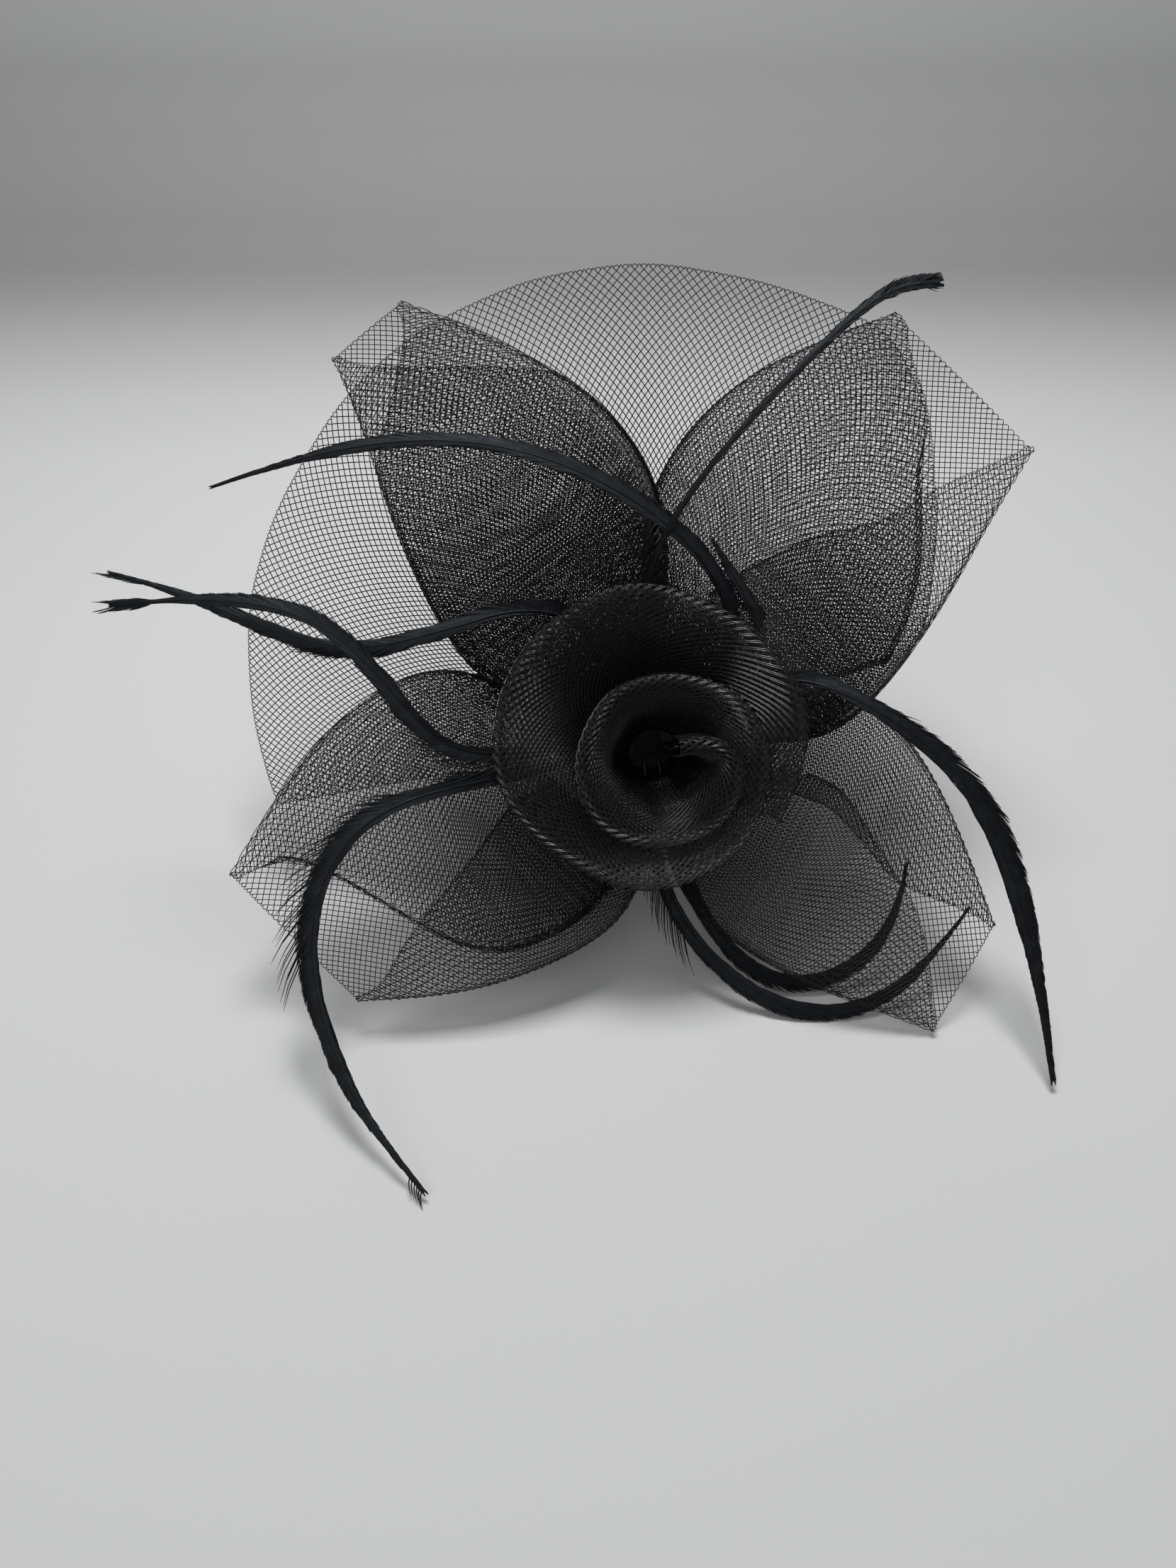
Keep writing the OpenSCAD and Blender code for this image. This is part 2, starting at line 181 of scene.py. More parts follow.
# Each feather: points along its quill from root to tip, and its vane's half widths. tufts are
# stretches of loose barbs: (from, to, side, length, angle to the quill, spacing).
FEATHERS = {
    "feather_arc_left": {
        "path": [
            (4, 8, 15.8), (17, 19, 20.5), (31, 28, 30), (33, 42, 36), (22, 60, 40), (11, 72, 41),
            (-8, 85, 42), (-30, 96, 42), (-51, 102, 42), (-73, 104, 42), (-95, 103, 41),
            (-117, 98, 40), (-136, 93, 39), (-153, 87, 38)],
        "vane": SLIM_VANE,
        "tufts": [],
    },
    "feather_arc_short": {
        "path": [
            (7, 5, 15.8), (18, 12, 17.6), (41, 28, 31), (41, 36, 32), (36, 46, 32), (29, 59, 32),
            (22, 70, 33)],
        "vane": SHORT_VANE,
        "tufts": [],
    },
    "feather_upper_right": {
        "path": [
            (0, 9, 15.8), (-3, 30, 20), (-5, 54, 38), (2, 68, 46), (15, 89, 47), (32, 106, 47),
            (48, 125, 46), (61, 136, 45), (72, 147, 44), (80, 154, 43), (90, 156, 43), (99, 156, 42)],
        "vane": PADDLE_VANE,
        "tufts": [
            (0.88, 0.97, 1, 8, 24, 0.4), (0.88, 0.97, -1, 8, 24, 0.4), (0.97, 0.985, 1, 4, 40, 0.8)],
    },
    "feather_left_high": {
        "path": [
            (-5, 8, 15.8), (-14, 30, 20), (-25, 52, 37), (-45, 48, 42), (-68, 37, 44), (-94, 28, 45),
            (-108, 30, 45), (-124, 34, 45), (-137, 40, 45), (-153, 46, 44), (-169, 53, 44),
            (-187, 57, 43)],
        "vane": SLIM_VANE,
        "tufts": [(0.5, 0.62, -1, 15, 17, 0.9), (0.93, 0.99, -1, 9, 14, 0.8)],
    },
    "feather_left_low": {
        "path": [
            (-9, 3, 15.8), (-30, -2, 20), (-54, -8, 39), (-66, -8, 43), (-77, 1, 47), (-86, 12, 50),
            (-98, 28, 51), (-110, 40, 51), (-122, 43, 51), (-136, 46, 50), (-158, 50, 50),
            (-185, 45, 48)],
        "vane": SLIM_VANE,
        "tufts": [
            (0.14, 0.21, -1, 36, 16, 0.6), (0.21, 0.34, -1, 20, 19, 1.0),
            (0.92, 0.99, -1, 10, 16, 0.8), (0.92, 0.99, 1, 9, 14, 0.8)],
    },
    "feather_sweep": {
        "path": [
            (-8, -5, 15.8), (-19, -8, 17.3), (-54, -14, 37), (-71, -17, 46), (-85, -21, 52),
            (-97, -26, 55), (-110, -39, 57), (-117, -60, 59), (-116, -76, 60), (-111, -93, 63),
            (-105, -108, 66), (-98, -121, 71), (-89, -130, 75), (-74, -145, 82)],
        "vane": SWEEP_VANE,
        "tufts": [
            (0.34, 0.44, 1, 20, 24, 1.0), (0.44, 0.62, 1, 25, 29, 1.7),
            (0.19, 0.25, 1, 22, 15, 0.8), (0.97, 1, 1, 7, 45, 1.2)],
    },
    "feather_right": {
        "path": [
            (9, 2, 15.8), (17, 8, 17.3), (43, 26, 35), (53, 22, 40), (67, 16, 43), (81, 8, 45),
            (94, 0, 46), (106, -12, 46), (115, -24, 46), (122, -38, 46), (130, -64, 48),
            (135, -84, 49), (138, -118, 51)],
        "vane": WIDE_VANE,
        "tufts": [(0.36, 0.4, -1, 15, 24, 1.5), (0.52, 0.55, -1, 14, 26, 1.6)],
    },
    "feather_under_outer": {
        "path": [
            (-1, -9, 15.8), (0, -34, 19), (4, -57, 22), (14, -70, 24), (25, -83, 25), (35, -91, 26),
            (47, -97, 27), (62, -100, 27), (74, -99, 27), (87, -94, 26), (98, -86, 24),
            (108, -76, 22), (118, -62, 21)],
        "vane": SLIM_VANE,
        "tufts": [(0.1, 0.32, 1, 21, 27, 1.3), (0.52, 0.56, 1, 11, 20, 1.3)],
    },
    "feather_under_inner": {
        "path": [
            (4, -8, 15.8), (8, -34, 17), (14, -57, 19), (24, -69, 19), (32, -81, 19), (43, -89, 19),
            (57, -91, 19), (70, -88, 19), (81, -81, 19), (90, -70, 18), (95, -58, 17), (96, -46, 17)],
        "vane": SLIM_VANE,
        "tufts": [(0.1, 0.2, -1, 18, 17, 1.0)],
    },
}
BARB_GAP = 0.36        # between neighbouring barbs along the quill
BARB_ANGLE = 15.0      # between a barb and the quill, in degrees
BARB_RADII = (0.2, 0.22, 0.18, 0.07)      # from a barb's root to its tip
TUFT_RADII = (0.24, 0.22, 0.16, 0.05)
FULL_VANE = 3.0        # half width that a wide vane keeps along its middle
QUILL_R = 0.8
QUILL_TIP_R = 0.18


# ---------------------------------------------------------------- geometry

def worn(points):
    """Points of the flower as it lies face up, in the frame."""
    p = np.asarray(points, float) * MM
    turn = math.pi / 2 - AXIS_RISE
    y = p[..., 1] * math.cos(turn) - p[..., 2] * math.sin(turn)
    z = p[..., 1] * math.sin(turn) + p[..., 2] * math.cos(turn)
    return np.stack([p[..., 0], y, z], axis=-1)


def unit(v):
    return v / np.maximum(np.linalg.norm(v, axis=-1, keepdims=True), 1e-12)


def smooth(k):
    """0 below 0, 1 above 1 and a smooth step between."""
    k = np.clip(k, 0, 1)
    return k * k * (3 - 2 * k)


def cubic(c, t):
    """Points at t on the cubic curve with control points c. t may run a little past 1."""
    c = np.asarray(c, float)
    t = np.asarray(t, float)[..., None]
    s = 1 - t
    return c[0] * s**3 + c[1] * 3 * s * s * t + c[2] * 3 * s * t * t + c[3] * t**3


def through(p, t):
    """Points at t, from 0 to 1, on a smooth curve through all the points p."""
    p = np.asarray(p, float)
    last = len(p) - 1
    s = np.clip(np.asarray(t, float) * last, 0, last - 1e-4)
    i = np.floor(s).astype(int)
    k = (s - i)[..., None] if p.ndim > 1 else s - i
    a, b, c, d = p[np.maximum(i - 1, 0)], p[i], p[i + 1], p[np.minimum(i + 2, last)]
    return b + 0.5 * k * (c - a + k * (2 * a - 5 * b + 4 * c - d + k * (3 * b - a - 3 * c + d)))


def by_length(curve, steps=400):
    """Whole length of curve(t), and a function from the length run along it to t."""
    t = np.linspace(0, 1, steps + 1)
    run = np.concatenate([[0], np.cumsum(np.linalg.norm(np.diff(curve(t), axis=0), axis=1))])
    return run[-1], lambda length: np.interp(length, run, t)


def tube_mesh(name, points, normals, first, radius, flat=1.0, sides=3):
    """Mesh of open tubes along many lines at once.

    first marks the points that begin a line. radius may differ from point to point, and flat is
    the tube's thickness along the normals as a share of its width.
    """
    n = len(points)
    begins = np.asarray(first, bool)
    ends = np.roll(begins, -1)
    ahead = np.where(ends[:, None], points, np.roll(points, -1, axis=0))
    behind = np.where(begins[:, None], points, np.roll(points, 1, axis=0))
    along = unit(ahead - behind)
    across = unit(np.cross(along, normals))
    out = np.cross(across, along)
    radius = np.broadcast_to(radius, (n,))[:, None]
    rings = []
    for k in range(sides):
        angle = 2 * math.pi * k / sides + math.pi / 2
        rings.append(points + radius * (math.cos(angle) * across + flat * math.sin(angle) * out))
    verts = worn(np.stack(rings, axis=1).reshape(-1, 3))
    body = np.flatnonzero(~ends)
    quads = []
    for k in range(sides):
        m = (k + 1) % sides
        quads.append(np.stack(
            [body * sides + k, (body + 1) * sides + k, (body + 1) * sides + m, body * sides + m], axis=1))
    mesh = bpy.data.meshes.new(name)
    mesh.from_pydata(verts.tolist(), [], np.concatenate(quads).tolist())
    mesh.shade_smooth()
    return mesh


def place(name, mesh, material, nodes=(), body="flower"):
    """The mesh as a piece that rides on body, with its material, in place of CAD nodes."""
    piece = bpy.data.objects.new(name, mesh)
    bpy.context.scene.collection.objects.link(piece)
    mesh.materials.append(material)
    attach(piece, body)
    if nodes:
        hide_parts(*nodes)
    return piece


# ---------------------------------------------------------------- open braid

def filaments(inside, x_range, y_range, pitch, strands):
    """Flat lines of both families where inside(x, y) is positive, and the ends of those lines.

    Each line is (x, y, side of the cloth), and each end is (x, y).
    """
    lines, ends = [], []
    y = np.arange(y_range[0], y_range[1] + STEP, STEP / ROOT2)
    depth = y[-1] - y_range[0]
    for slope in (1, -1):
        starts = np.arange(x_range[0] - depth, x_range[1] + depth, pitch * ROOT2)
        for start in starts:
            for strand in strands:
                x = start + strand * ROOT2 + slope * (y - y_range[0])
                f = inside(x, y)
                good = f > 0
                turns = np.flatnonzero(np.diff(np.concatenate([[False], good, [False]]).astype(int)))
                for a, b in zip(turns[::2], turns[1::2]):
                    if b - a < 2:
                        continue
                    px, py = list(x[a:b]), list(y[a:b])
                    if a > 0:
                        k = f[a] / (f[a] - f[a - 1])
                        px.insert(0, x[a] + k * (x[a - 1] - x[a]))
                        py.insert(0, y[a] + k * (y[a - 1] - y[a]))
                        ends.append((px[0], py[0]))
                    if b < len(y):
                        k = f[b - 1] / (f[b - 1] - f[b])
                        px.append(x[b - 1] + k * (x[b] - x[b - 1]))
                        py.append(y[b - 1] + k * (y[b] - y[b - 1]))
                        ends.append((px[-1], py[-1]))
                    lines.append((np.array(px), np.array(py), slope))
    return lines, ends


def selvedge(ends, middle, loop):
    """Loops that join neighbouring filament ends round the edge, seen from the flat point middle."""
    ends = np.array(ends)
    order = np.argsort(np.arctan2(ends[:, 1] - middle[1], ends[:, 0] - middle[0]))
    ends = ends[order]
    k = np.linspace(0, 1, 5)
    loops = []
    for a, b in zip(ends[:-1], ends[1:]):
        gap = np.linalg.norm(b - a)
        if not 0.3 < gap < 7:
            continue
        out = np.array([a[1] - b[1], b[0] - a[0]]) / gap
        if out @ ((a + b) / 2 - middle) < 0:
            out = -out
        bulge = 4 * k * (1 - k) * min(loop, gap)
        line = a + (b - a) * k[:, None] + out * bulge[:, None]
        loops.append((line[:, 0], line[:, 1], 0))
    return loops


def braid(
        name, surface, inside, x_range, y_range, middle, pitch, radius, strands=(0,), loop=SELVEDGE_LOOP):
    """Mesh of open braid laid over surface(x, y), which takes flat places to points of the flower.

    middle is a flat place from which the edge's loops are put in order, and strands are the offsets
    of the threads that run side by side as one filament.
    """
    lines, ends = filaments(inside, x_range, y_range, pitch, strands)
    lines += selvedge(ends, middle, loop)
    x = np.concatenate([line[0] for line in lines])
    y = np.concatenate([line[1] for line in lines])
    side = np.concatenate([np.full(len(line[0]), line[2]) for line in lines])
    first = np.concatenate([np.arange(len(line[0])) == 0 for line in lines])
    d = 0.3
    normal = unit(np.cross(surface(x + d, y) - surface(x - d, y), surface(x, y + d) - surface(x, y - d)))
    points = surface(x, y) + normal * (side * radius)[:, None]
    return tube_mesh(name, points, normal, first, radius)


# ---------------------------------------------------------------- petals

def petal_parts(shape):
    """A petal's surface and domain over its flat strip, with the strip's size.

    The strip's x runs round the petal from the middle of its back, right positive, and y runs from
    the gathered root out to the mouth.
    """
    depth, at = by_length(lambda t: (cubic(shape["left"], t) + cubic(shape["right"], t)) / 2)

    def place_at(y):
        """Where y lies along the petal, from root 0 to mouth 1."""
        return at(np.clip(y, 0, depth)) + np.maximum(y - depth, 0) / (PAST_MOUTH * depth)

    def frame_at(t):
        left, right = cubic(shape["left"], t), cubic(shape["right"], t)
        near, far = np.clip(t - 0.02, 0, 1), np.clip(t + 0.02, 0, 1)
        run = sum(cubic(shape[side], far) - cubic(shape[side], near) for side in ("left", "right"))
        ex = unit(right - left)
        ez = unit(np.cross(ex, run))
        s = np.clip(t, 0, 1)
        out_left, out_right = (out * np.sin(math.pi * s**0.45) for out in shape["billow"])
        half = (np.linalg.norm(right - left, axis=-1) + out_left + out_right) / 2
        middle = (left + right) / 2 + ex * ((out_right - out_left) / 2)[..., None]
        r = (ROOT_DEPTH + (CORNER_DEPTH - ROOT_DEPTH) * s + POCKET_BULGE * np.sin(math.pi * s)) / 2
        return middle, ex, ez, half, r

    def gather(t):
        return ROOT_GATHER + (1 - ROOT_GATHER) * smooth(t / 0.85)

    def free_length(t, right_side, half, r):
        """Length round the section from the middle of the back to the flap's free edge."""
        reach = [np.array(shape[key]) for key in ("reach_left", "reach_right")]
        share = [eased_line(line, t) for line in reach]
        free = np.maximum(np.where(right_side, share[1], share[0]) * half, (1 - TUCK) * r - half)
        return (half - r) + math.pi * r + (half - r - np.minimum(free, half - r))

    def inside(x, y):
        t = place_at(y)
        half, r = frame_at(t)[3:]
        s = x * gather(t)
        mouth = PAST_MOUTH * MOUTH_BULGE * np.clip(1 - (s / half) ** 2, 0, 1)
        return np.minimum(free_length(t, x > 0, half, r) - np.abs(s), depth + mouth - y)

    def surface(x, y):
        t = place_at(y)
        middle, ex, ez, half, r = frame_at(t)
        s = x * gather(t)
        a = np.abs(s)
        right_side = x > 0
        flat = half - r
        over = right_side if shape["over"] == "right" else ~right_side
        # Round the roll.
        turn = np.clip((a - flat) / r, 0, math.pi) - math.pi / 2
        u = np.minimum(a, flat) + r * np.cos(turn) * (a > flat)
        w = np.where(a > flat, r + r * np.sin(turn), 0.0)
        front = np.maximum(a - flat - math.pi * r, 0)
        u = np.where(front > 0, flat - front, u)
        # A flap that reaches the other side tucks down inside that side's roll.
        tucked = np.clip(-flat - u, 0, TUCK * r)
        w = np.where(front > 0, r + np.sqrt(r * r - tucked * tucked), w)
        # One flap lies over the other where they meet.
        meet = smooth((FLAP_MEET - u) / FLAP_MEET) * (front > 0)
        w = w + np.where(over, FLAP_RISE, -FLAP_RISE) * meet
        # The free edge turns up, and the top flap's edge rolls.
        left_over = free_length(t, right_side, half, r) - a
        roll = np.where(over, shape["roll"], 1.0) * smooth((1 - t) / 0.18) * smooth(t / 0.3)
        top_curl = TIGHT_CURL if shape["roll"] > ROLLED else LOOSE_CURL
        curl_r = np.where(over, top_curl, LOOSE_CURL)
        phi = np.clip((roll - left_over) / curl_r, 0, 5.6) * (front > 0)
        u = u + np.where(phi > 0, phi * curl_r - curl_r * np.sin(phi), 0)
        w = w + np.where(phi > 0, curl_r * (1 - np.cos(phi)), 0)
        # Gathers at the root and the slack of the cloth.
        pleat = PETAL_PLEAT * np.clip(1 - t / 0.4, 0, 1) * np.sin(x / 1.7)
        slack = PETAL_SLACK * np.sin(x / 19 + 1.3) * np.sin(y / 26 + 0.5) * smooth((1 - t) / 0.3)
        outward = np.where(front > 0, 1.0, np.where(a > flat, np.sin(turn), -1.0))
        sideways = np.where((a > flat) & (front <= 0), np.cos(turn), 0.0)
        shift = pleat + slack
        u = u + sideways * shift
        w = w + outward * shift - r
        u = np.where(right_side, u, -u)
        return middle + ex * u[..., None] + ez * w[..., None]

    widest = max(
        float(np.max(free_length(t, side, *frame_at(t)[3:]) / gather(t)))
        for side in (True, False)
        for t in [np.linspace(0, 1, 60)])
    return surface, inside, widest, depth


def eased_line(line, t):
    """Height at t of a line through (place, height) points, with its corners eased."""
    return sum(np.interp(t + d, line[:, 0], line[:, 1]) for d in (-0.03, -0.015, 0, 0.015, 0.03)) / 5


def flat_area(inside, x_range, y_range):
    """Area of the flat cut in square millimetres, counted on a fine grid."""
    x, y = np.meshgrid(np.arange(*x_range, 1.0), np.arange(*y_range, 1.0))
    return float((inside(x.ravel(), y.ravel()) > 0).sum())


def make_petal(name, shape, material):
    surface, inside, widest, depth = petal_parts(shape)
    x_range = (-widest - 4, widest + 4)
    y_range = (0, depth + 2 * MOUTH_BULGE)
    below = np.array([0.0, -40.0])
    mesh = braid(name, surface, inside, x_range, y_range, below, PETAL_PITCH, PETAL_FILAMENT_R)
    nodes = [f"{name}_{part}" for part in ("back", "sides", "flaps")]
    piece = place(f"{name}_braid", mesh, material, nodes)
    area = flat_area(inside, x_range, y_range)


# ---------------------------------------------------------------- fan

def fan_edge(a):
    """Outer radius of the fan at angle a, in degrees."""
    right, left = FAN_FULL
    low = FAN_R - FAN_RIGHT_CUT * np.maximum(right - a, 0) ** 2 / (FAN_RIGHT_SLOPE - np.minimum(a, right))
    return low - FAN_LEFT_CUT * np.maximum(a - left, 0) ** FAN_LEFT_POWER


def make_fan(material):
    width = BRAID_WIDTH
    turned_in = 5.0        # of the strip's right end, folded back on itself
    length = math.radians(FAN_TURN[1] - FAN_TURN[0]) * FAN_R + turned_in

    def surface(x, y):
        # The rim rolls in towards its right end.
        along = np.abs(x - turned_in)
        a = FAN_TURN[0] + along / (length - turned_in) * (FAN_TURN[1] - FAN_TURN[0])
        rolled = np.maximum(y - width + 12, 0) * smooth((52 - a) / 12)
        y = y - rolled
        k = y / width
        r = FAN_ROOT_R + (fan_edge(a) - FAN_ROOT_R) * k
        ruffle = 1.6 * k * k * np.sin(x / 17.0) + 0.5 * k**3 * np.sin(x / 7.3 + 1)
        pleat = 1.6 * np.clip(1 - k / 0.6, 0, 1) * (1 + np.sin(x / 2.3))
        fold = np.where(x < turned_in, 2.2 * smooth((turned_in - x) / 5), 0)
        w = FAN_RISE - FAN_FALL * k * k + ruffle * smooth(k / 0.5) + pleat * smooth(k / 0.1) + fold
        r = r + FAN_RIM_R * np.sin(rolled / FAN_RIM_R)
        w = w + FAN_RIM_R * (1 - np.cos(rolled / FAN_RIM_R))
        a = np.radians(a)
        return np.stack([r * np.cos(a), r * np.sin(a), w], axis=-1)

    def inside(x, y):
        return np.minimum(np.minimum(x, length - x), width - y)

    below = np.array([length / 2, -60.0])
    mesh = braid(
        "fan", surface, inside, (0, length), (0, width), below, FAN_PITCH, FAN_FILAMENT_R)
    piece = place("fan_braid", mesh, material, ["fan"])


# ---------------------------------------------------------------- rosette

def make_rosette(material):
    """One strip, pulled long and narrow, folded over at the rim and again at the foot, and rolled up."""
    width = BRAID_WIDTH * ROSETTE_NARROW
    rim_r = ROSETTE_WALL_R
    length, at = by_length(lambda t: through(ROSETTE_PATH, t))
    flat_length = length / ROSETTE_LONG
    layer = 0.36 * (width - math.pi * rim_r)
    folds = np.array([0, layer, layer + math.pi * rim_r, 2 * layer + math.pi * rim_r, width])
    depths = np.array([1.0, 0, 0, 1, 0.2])          # from the rim 0 to the foot 1
    offsets = np.array([1.0, 1, -1, -1, 0])         # across the wall, as shares of rim_r

    def surface(flat_x, flat_y):
        x, y = flat_x * ROSETTE_LONG, flat_y * ROSETTE_NARROW
        t = at(np.clip(x, 0, length))
        here = through(ROSETTE_PATH, t)
        ahead, behind = np.clip(t + 0.004, 0, 1), np.clip(t - 0.004, 0, 1)
        along = unit(through(ROSETTE_PATH, ahead) - through(ROSETTE_PATH, behind))
        side = np.stack([-along[..., 1], along[..., 0]], axis=-1)
        turn = np.clip((y - layer) / rim_r, 0, math.pi)
        down = np.interp(y, folds, depths)
        across = np.where((turn > 0) & (turn < math.pi), np.cos(turn), np.interp(y, folds, offsets))
        wave = 0.9 * np.sin(x / 13) + 0.3 * np.sin(x / 7.7 + 2)
        w = ROSETTE_RIM - rim_r + rim_r * np.sin(turn) + wave
        w = w - (ROSETTE_RIM - rim_r - ROSETTE_LOW + wave) * down
        rise = np.clip((w - ROSETTE_LOW) / (ROSETTE_RIM - ROSETTE_LOW), 0, 1.1)
        size = ROSETTE_DRAWN + (1 - ROSETTE_DRAWN) * rise**0.8
        puff = rim_r * (1 + 0.9 * np.sin(math.pi * down) * (1 - down))
        off = across * puff * (1 - 0.6 * smooth(down))
        flat = ROSETTE_MIDDLE + (here - ROSETTE_MIDDLE) * size[..., None] + side * off[..., None]
        return np.concatenate([flat, w[..., None]], axis=-1)

    def inside(x, y):
        return np.minimum(np.minimum(x, flat_length - x), BRAID_WIDTH - y)

    below = np.array([flat_length / 2, -60.0])
    mesh = braid(
        "rosette", surface, inside, (0, flat_length), (0, BRAID_WIDTH), below,
        ROSETTE_PITCH, ROSETTE_FILAMENT_R, strands=(-0.26, 0.26), loop=0.8)
    piece = place("rosette_braid", mesh, material, ["rosette"])


# ---------------------------------------------------------------- feathers

def eased(points):
    """The points with their kinks eased twice, both ends kept."""
    p = np.array(points, float)
    for _ in range(2):
        p[1:-1] = 0.25 * p[:-2] + 0.5 * p[1:-1] + 0.25 * p[2:]
    return p


def barb_lines(path, at, places, side, lengths, angles, lift):
    """Curved barbs that leave the quill at the given lengths along it, as an array of 4-point lines."""
    t = at(places)
    root = through(path, t)
    along = unit(through(path, np.clip(t + 0.01, 0, 1)) - through(path, np.clip(t - 0.01, 0, 1)))
    out = unit(np.cross(along, [0.0, 0.0, 1.0])) * side
    up = np.array([0.0, 0.0, 1.0])
    lines = []
    for k in (0, 0.35, 0.7, 1):
        bend = np.radians(angles * (1.3 - 0.5 * k))
        reach = (lengths * k)[:, None]
        sag = (lift * k * k)[:, None]
        heading = np.cos(bend)[:, None] * along + np.sin(bend)[:, None] * out
        lines.append(root + reach * heading + sag * up)
    return np.stack(lines, axis=1)


def make_feather(name, shape, material, seed):
    random = np.random.default_rng(seed)
    path, vane = eased(shape["path"]), np.array(shape["vane"], float)
    run, at = by_length(lambda t: through(path, t))
    lines, radii = [], []
    for side in (-1, 1):
        places = np.arange(0.1 * run, run - 1, BARB_GAP)
        places = places + random.uniform(-0.1, 0.1, len(places))
        kept = smooth(places / (0.16 * run)) * smooth((run - places) / (0.3 * run))
        half = np.maximum(through(vane, at(places)), min(FULL_VANE, vane[1]) * kept)
        # Barbs cling in ridges, with a slit between some of them.
        phase = places / 11 + 0.8 * np.sin(places / 7.3 + seed) + side
        ridge = phase - np.floor(phase)
        angles = BARB_ANGLE + 2.5 * (0.5 - ridge) + random.normal(0, 0.35, len(places))
        lengths = half / math.sin(math.radians(BARB_ANGLE)) * (1 + random.normal(0, 0.025, len(places)))
        lengths = np.minimum(lengths, run - places + 1.5)
        lift = 0.25 * np.sin(2 * math.pi * ridge) - 0.16 * half + random.normal(0, 0.06, len(places))
        lines.append(barb_lines(path, at, places, side, lengths, angles, lift))
        radii.append(np.tile(BARB_RADII, (len(places), 1)))
    for start, stop, side, length, angle, gap in shape["tufts"]:
        places = np.arange(start * run, stop * run, gap)
        count = len(places)
        lengths = length * (1 - 0.15 * random.random(count))
        angles = angle + random.normal(0, 1.5, count)
        lift = random.normal(0, 0.8, count)
        lines.append(barb_lines(path, at, places, side, lengths, angles, lift))
        radii.append(np.tile(TUFT_RADII, (count, 1)))
    barbs = np.concatenate(lines)
    t = at(np.linspace(0, run, int(run / 2.5)))
    quill = through(path, t)
    points = np.concatenate([barbs.reshape(-1, 3), quill + [0, 0, 0.2]])
    quill_r = QUILL_R - (QUILL_R - QUILL_TIP_R) * smooth(np.linspace(0, 1, len(t)) / 0.6)
    radius = np.concatenate([np.concatenate(radii).ravel(), quill_r])
    normals = np.tile([0.0, 0.0, 1.0], (len(points), 1))
    first = np.zeros(len(points), bool)
    first[: len(barbs) * 4 : 4] = True
    first[len(barbs) * 4] = True
    mesh = tube_mesh(name, points, normals, first, radius, flat=0.5, sides=4)
    place(f"{name}_plume", mesh, material, [name])


# ---------------------------------------------------------------- base, button and stitches

def lathe(name, profile, steps, roughen, random):
    """Closed turned mesh about Z through a profile of (radius, height) points, slightly uneven."""
    ring = 2 * math.pi * np.arange(steps) / steps
    verts = []
    for r, z in profile:
        bump = random.normal(0, roughen, (steps, 2)) if r > 0.5 else np.zeros((steps, 2))
        verts.append(np.stack(
            [(r + bump[:, 0]) * np.cos(ring), (r + bump[:, 0]) * np.sin(ring), z + bump[:, 1]], axis=1))
    verts = worn(np.concatenate(verts))
    faces = []
    for j in range(len(profile) - 1):
        for i in range(steps):
            m = (i + 1) % steps
            faces.append((j * steps + i, j * steps + m, (j + 1) * steps + m, (j + 1) * steps + i))
    faces.append(tuple(reversed(range(steps))))
    faces.append(tuple(range((len(profile) - 1) * steps, len(profile) * steps)))
    mesh = bpy.data.meshes.new(name)
    mesh.from_pydata(verts.tolist(), [], faces)
    mesh.shade_smooth()
    return mesh


def felt_profile(radius, low, high, round_r):
    """Turned profile of a felt disc with rounded edges."""
    turn = np.radians(np.linspace(-90, 0, 5))
    foot = [(radius - round_r + round_r * math.cos(a), low + round_r + round_r * math.sin(a)) for a in turn]
    head = [(r, low + high - z) for r, z in reversed(foot)]
    middle = [(radius * k, low) for k in (0.1, 0.4, 0.7)]
    return middle + foot + head + [(r, high) for r, z in reversed(middle)]


def fuzz(name, places, outward, random):
    """Short loose fibres that stand out of felt at the given places."""
    n = len(places)
    lean = unit(outward + random.normal(0, 0.7, (n, 3)))
    curl = random.normal(0, 0.35, (n, 3))
    size = random.uniform(0.5, 1.3, n)[:, None]
    lines = np.stack([places + lean * size * k + curl * size * k * k for k in (-0.2, 0.4, 1)], axis=1)
    points = lines.reshape(-1, 3)
    first = np.arange(len(points)) % 3 == 0
    return tube_mesh(name, points, np.tile([0.3, 0.5, 0.8], (len(points), 1)), first, 0.03)


def make_base(material):
    random = np.random.default_rng(3)
    rim_fibres, back_fibres = 1500, 1200
    pad = lathe("base_pad", felt_profile(BASE_R, 0, BASE_T, 1.0), 120, 0.05, random)
    place("base_pad_felt", pad, material, ["base_pad"])
    turn = random.uniform(0, 2 * math.pi, rim_fibres)
    height = random.uniform(0.3, BASE_T - 0.3, rim_fibres)
    outward = np.stack([np.cos(turn), np.sin(turn), 0 * turn], axis=1)
    rim = outward * BASE_R + np.stack([0 * turn, 0 * turn, height], axis=1)
    spread = BASE_R * np.sqrt(random.random(back_fibres))
    turn = random.uniform(0, 2 * math.pi, back_fibres)
    back = np.stack([spread * np.cos(turn), spread * np.sin(turn), 0 * turn], axis=1)
    places = np.concatenate([rim, back])
    outs = np.concatenate([outward, np.tile([0.0, 0.0, -1.0], (back_fibres, 1))])
    place("base_pad_fuzz", fuzz("base_pad_fuzz", places, outs, random), material)
    disc = felt_profile(BUTTON_R, BASE_T, BUTTON_TOP, 1.2)
    bevel = 0.6
    stem = [
        (STEM_R, BUTTON_TOP), (STEM_R, ROSETTE_LOW - bevel), (STEM_R - bevel, ROSETTE_LOW),
        (0.5, ROSETTE_LOW)]
    button = lathe("core_button", disc[:-3] + [(STEM_R + 2, BUTTON_TOP)] + stem, 72, 0.05, random)
    place("core_button_felt", button, material, ["core_button"])


